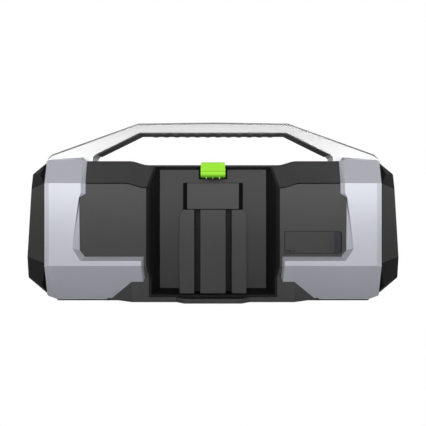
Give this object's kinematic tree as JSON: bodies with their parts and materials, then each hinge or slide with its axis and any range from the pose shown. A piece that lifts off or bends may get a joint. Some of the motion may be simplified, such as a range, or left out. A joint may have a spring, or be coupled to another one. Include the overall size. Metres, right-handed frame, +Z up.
{
  "type": "outdoor speaker",
  "caption": "Battery-powered portable outdoor speaker with a fixed carrying handle, a rear battery bay with a sprung latch, and a hinged cover over its sockets.",
  "frame": {"origin": "on the ground, under the middle of the speaker", "axes": "+X to the right along the length, seen from the battery side; +Y from the battery side towards the grille; +Z up"},
  "size_m": [0.4812, 0.18, 0.2305],
  "materials": {
    "case_plastic": "fine-textured charcoal moulding",
    "cap_rubber": "moulded dark rubber, matte",
    "guard_plastic": "smooth light grey moulding, satin",
    "handle_plastic": "smooth white moulding, satin",
    "soft_rubber": "matte black rubber",
    "screw_steel": "zinc-plated steel",
    "grille_metal": "matte black powder coat",
    "black_plastic": "matte black moulding",
    "button_rubber": "soft-touch silicone",
    "light_lens": "clear diffusing lens",
    "contact_brass": "plated spring brass",
    "latch_plastic": "smooth bright green moulding",
    "board_laminate": "solder-masked glass laminate",
    "part_plastic": "mixed component bodies",
    "plate_aluminium": "anodised aluminium",
    "basket_steel": "black painted steel",
    "magnet_iron": "ferrite and steel",
    "cone_paper": "pressed paper pulp"
  },
  "bodies": {
    "case": {"rear_shell": "case_plastic", "front_shell": "case_plastic", "case_seal": "soft_rubber", "front_grille": "grille_metal", "left_guard_rear": "guard_plastic", "right_guard_rear": "guard_plastic", "left_guard_front": "guard_plastic", "right_guard_front": "guard_plastic", "handle_bar": "handle_plastic", "handle_grip": "soft_rubber", "handle_bolts": "screw_steel", "left_end_cap": "cap_rubber", "right_end_cap": "cap_rubber", "left_radiator_frame": "black_plastic", "right_radiator_frame": "black_plastic", "left_radiator_surround": "soft_rubber", "right_radiator_surround": "soft_rubber", "battery_bay": "case_plastic", "rail_block": "case_plastic", "contact_holder": "black_plastic", "contact_cover": "case_plastic", "contact_blades": "contact_brass", "latch_pin": "screw_steel", "latch_spring": "screw_steel", "port_hinge_pin": "screw_steel", "port_panel": "black_plastic", "usb_sockets": "screw_steel", "aux_jack": "black_plastic", "amp_board": "board_laminate", "heat_sink": "plate_aluminium", "board_parts": "part_plastic", "wiring": "part_plastic", "left_woofer_basket": "basket_steel", "right_woofer_basket": "basket_steel", "left_woofer_magnet": "magnet_iron", "right_woofer_magnet": "magnet_iron", "left_woofer_surround": "soft_rubber", "right_woofer_surround": "soft_rubber", "left_tweeter_frame": "black_plastic", "right_tweeter_frame": "black_plastic", "control_panel": "black_plastic", "status_light": "light_lens", "feet": "soft_rubber", "case_screws": "screw_steel", "guard_screws": "screw_steel", "driver_screws": "screw_steel"},
    "latch": {"latch_button": "latch_plastic"},
    "port_door": {"port_cover": "case_plastic"},
    "power_key": {"power_button": "button_rubber"},
    "pairing_key": {"pairing_button": "button_rubber"},
    "play_key": {"play_button": "button_rubber"},
    "volume_up_key": {"volume_up_button": "button_rubber"},
    "volume_down_key": {"volume_down_button": "button_rubber"},
    "left_woofer": {"left_woofer_cone": "cone_paper"},
    "right_woofer": {"right_woofer_cone": "cone_paper"},
    "left_tweeter": {"left_tweeter_dome": "plate_aluminium"},
    "right_tweeter": {"right_tweeter_dome": "plate_aluminium"},
    "left_radiator": {"left_radiator_plate": "plate_aluminium"},
    "right_radiator": {"right_radiator_plate": "plate_aluminium"}
  },
  "joints": [
    {"name": "latch_press", "type": "hinge", "parent": "case", "child": "latch", "pos_m": [0, -0.042, 0.1674], "axis": [-1, 0, 0], "range_deg": [0, 10], "stiffness_Nm_per_rad": 0.3, "springref_deg": -8.59, "deforming": ["latch_spring"]},
    {"name": "port_cover_hinge", "type": "hinge", "parent": "case", "child": "port_door", "pos_m": [0.0862, -0.0826, 0.0752], "axis": [0, 0, -1], "range_deg": [0, 95]},
    {"name": "power_press", "type": "slide", "parent": "case", "child": "power_key", "axis": [0, 0, -1], "range_m": [0, 0.0012], "stiffness_N_per_m": 800, "springref_m": -0.001},
    {"name": "pairing_press", "type": "slide", "parent": "case", "child": "pairing_key", "axis": [0, 0, -1], "range_m": [0, 0.0012], "stiffness_N_per_m": 800, "springref_m": -0.001},
    {"name": "play_press", "type": "slide", "parent": "case", "child": "play_key", "axis": [0, 0, -1], "range_m": [0, 0.0012], "stiffness_N_per_m": 800, "springref_m": -0.001},
    {"name": "volume_up_press", "type": "slide", "parent": "case", "child": "volume_up_key", "axis": [0, 0, -1], "range_m": [0, 0.0012], "stiffness_N_per_m": 800, "springref_m": -0.001},
    {"name": "volume_down_press", "type": "slide", "parent": "case", "child": "volume_down_key", "axis": [0, 0, -1], "range_m": [0, 0.0012], "stiffness_N_per_m": 800, "springref_m": -0.001},
    {"name": "left_woofer_stroke", "type": "slide", "parent": "case", "child": "left_woofer", "axis": [0, 1, 0], "range_m": [-0.0025, 0.0025], "stiffness_N_per_m": 1500, "deforming": ["left_woofer_surround"]},
    {"name": "left_tweeter_stroke", "type": "slide", "parent": "case", "child": "left_tweeter", "axis": [0, 1, 0], "range_m": [-0.0003, 0.0003], "stiffness_N_per_m": 1500},
    {"name": "left_radiator_stroke", "type": "slide", "parent": "case", "child": "left_radiator", "axis": [-1, 0, 0], "range_m": [-0.003, 0.003], "stiffness_N_per_m": 1500, "deforming": ["left_radiator_surround"]},
    {"name": "right_woofer_stroke", "type": "slide", "parent": "case", "child": "right_woofer", "axis": [0, 1, 0], "range_m": [-0.0025, 0.0025], "stiffness_N_per_m": 1500, "deforming": ["right_woofer_surround"]},
    {"name": "right_tweeter_stroke", "type": "slide", "parent": "case", "child": "right_tweeter", "axis": [0, 1, 0], "range_m": [-0.0003, 0.0003], "stiffness_N_per_m": 1500},
    {"name": "right_radiator_stroke", "type": "slide", "parent": "case", "child": "right_radiator", "axis": [1, 0, 0], "range_m": [-0.003, 0.003], "stiffness_N_per_m": 1500, "deforming": ["right_radiator_surround"]}
  ]
}
